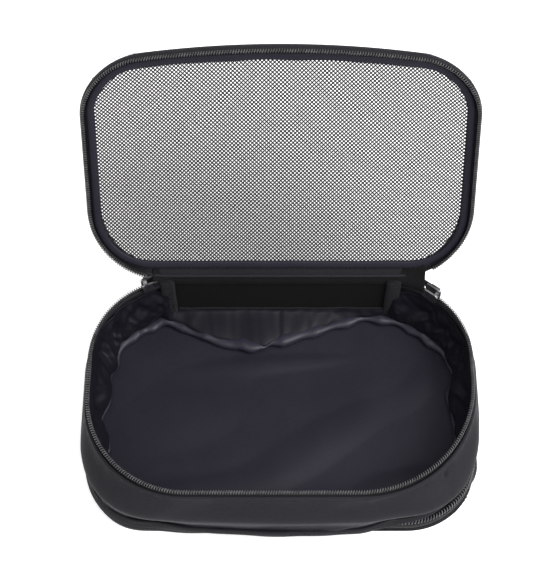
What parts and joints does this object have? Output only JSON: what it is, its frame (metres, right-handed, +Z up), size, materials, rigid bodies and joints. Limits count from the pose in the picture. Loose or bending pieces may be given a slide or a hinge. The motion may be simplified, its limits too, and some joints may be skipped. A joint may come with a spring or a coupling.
{
  "type": "cable organizer pouch",
  "caption": "Soft rectangular zip pouch with a see-through mesh lid standing open over a padded tray and a shallow zipped compartment underneath.",
  "frame": {"origin": "centre of the underside of the base cover, on the surface the pouch stands on", "axes": "+Z up, +X along the long side to the user's right, -Y the front, the lid hinged along the back"},
  "size_m": [0.247, 0.2399, 0.1958],
  "materials": {
    "wall_fabric": "woven nylon, slight sheen",
    "satin_fabric": "satin lining",
    "mesh_net": "knitted net with small hexagonal holes",
    "binding_tape": "ribbed tape",
    "zip_tape": "woven tape",
    "zip_coil": "moulded nylon coil",
    "slider_metal": "gunmetal plating",
    "pull_metal": "black lacquer"
  },
  "bodies": {
    "main_body": {"front_side_wall": "wall_fabric", "waist_hem": "wall_fabric", "rim_zip_coil": "zip_coil", "rim_zip_tape": "zip_tape", "lower_zip_top_coil": "zip_coil", "lower_zip_top_tape": "zip_tape", "divider_floor": "satin_fabric", "floor_binding": "binding_tape", "back_panel": "wall_fabric", "back_seam_tape": "binding_tape", "left_seam_binding": "binding_tape", "right_seam_binding": "binding_tape", "base_hinge_binding": "binding_tape"},
    "lid": {"lid_piping": "binding_tape", "lid_border": "wall_fabric", "mesh_panel": "mesh_net", "lid_inner_binding": "binding_tape", "lid_zip_coil": "zip_coil", "lid_zip_tape": "zip_tape"},
    "base_cover": {"base_panel": "wall_fabric", "base_side_band": "wall_fabric", "base_inner_binding": "binding_tape", "lower_zip_bottom_coil": "zip_coil", "lower_zip_bottom_tape": "zip_tape"},
    "left_rim_slider": {"left_rim_slider_body": "slider_metal"},
    "left_rim_pull": {"left_rim_pull_tab": "pull_metal"},
    "right_rim_slider": {"right_rim_slider_body": "slider_metal"},
    "right_rim_pull": {"right_rim_pull_tab": "pull_metal"},
    "left_lower_slider": {"left_lower_slider_body": "slider_metal"},
    "left_lower_pull": {"left_lower_pull_tab": "pull_metal"},
    "right_lower_slider": {"right_lower_slider_body": "slider_metal"},
    "right_lower_pull": {"right_lower_pull_tab": "pull_metal"}
  },
  "joints": [
    {"name": "lid_hinge", "type": "hinge", "parent": "main_body", "child": "lid", "pos_m": [0, 0.072, 0.073], "axis": [1, 0, 0], "range_deg": [-50, 125]},
    {"name": "base_cover_hinge", "type": "hinge", "parent": "main_body", "child": "base_cover", "pos_m": [0, 0.0715, 0.0026], "axis": [1, 0, 0], "range_deg": [0, 110]},
    {"name": "left_rim_slider_travel", "type": "hinge", "parent": "main_body", "child": "left_rim_slider", "pos_m": [-0.063, 0.02, 0.0645], "axis": [0, 0, 1], "range_deg": [0, 68]},
    {"name": "right_rim_slider_travel", "type": "hinge", "parent": "main_body", "child": "right_rim_slider", "pos_m": [0.063, 0.02, 0.0645], "axis": [0, 0, 1], "range_deg": [-52, 0]},
    {"name": "left_lower_slider_travel", "type": "slide", "parent": "main_body", "child": "left_lower_slider", "axis": [1, 0, 0], "range_m": [-0.045, 0]},
    {"name": "right_lower_slider_travel", "type": "slide", "parent": "main_body", "child": "right_lower_slider", "axis": [1, 0, 0], "range_m": [0, 0.045]},
    {"name": "left_rim_pull_turn", "type": "hinge", "parent": "left_rim_slider", "child": "left_rim_pull", "pos_m": [-0.083, 0.07209, 0.0645], "axis": [0, 0, 1], "range_deg": [0, 175]},
    {"name": "right_rim_pull_turn", "type": "hinge", "parent": "right_rim_slider", "child": "right_rim_pull", "pos_m": [0.09658, 0.06456, 0.0645], "axis": [0, 0, 1], "range_deg": [-175, 0]},
    {"name": "left_lower_pull_turn", "type": "hinge", "parent": "left_lower_slider", "child": "left_lower_pull", "pos_m": [-0.0025, -0.0758, 0.0141], "axis": [0, 0, 1], "range_deg": [0, 100]},
    {"name": "right_lower_pull_turn", "type": "hinge", "parent": "right_lower_slider", "child": "right_lower_pull", "pos_m": [0.0105, -0.0758, 0.0141], "axis": [0, 0, 1], "range_deg": [-100, 0]}
  ]
}
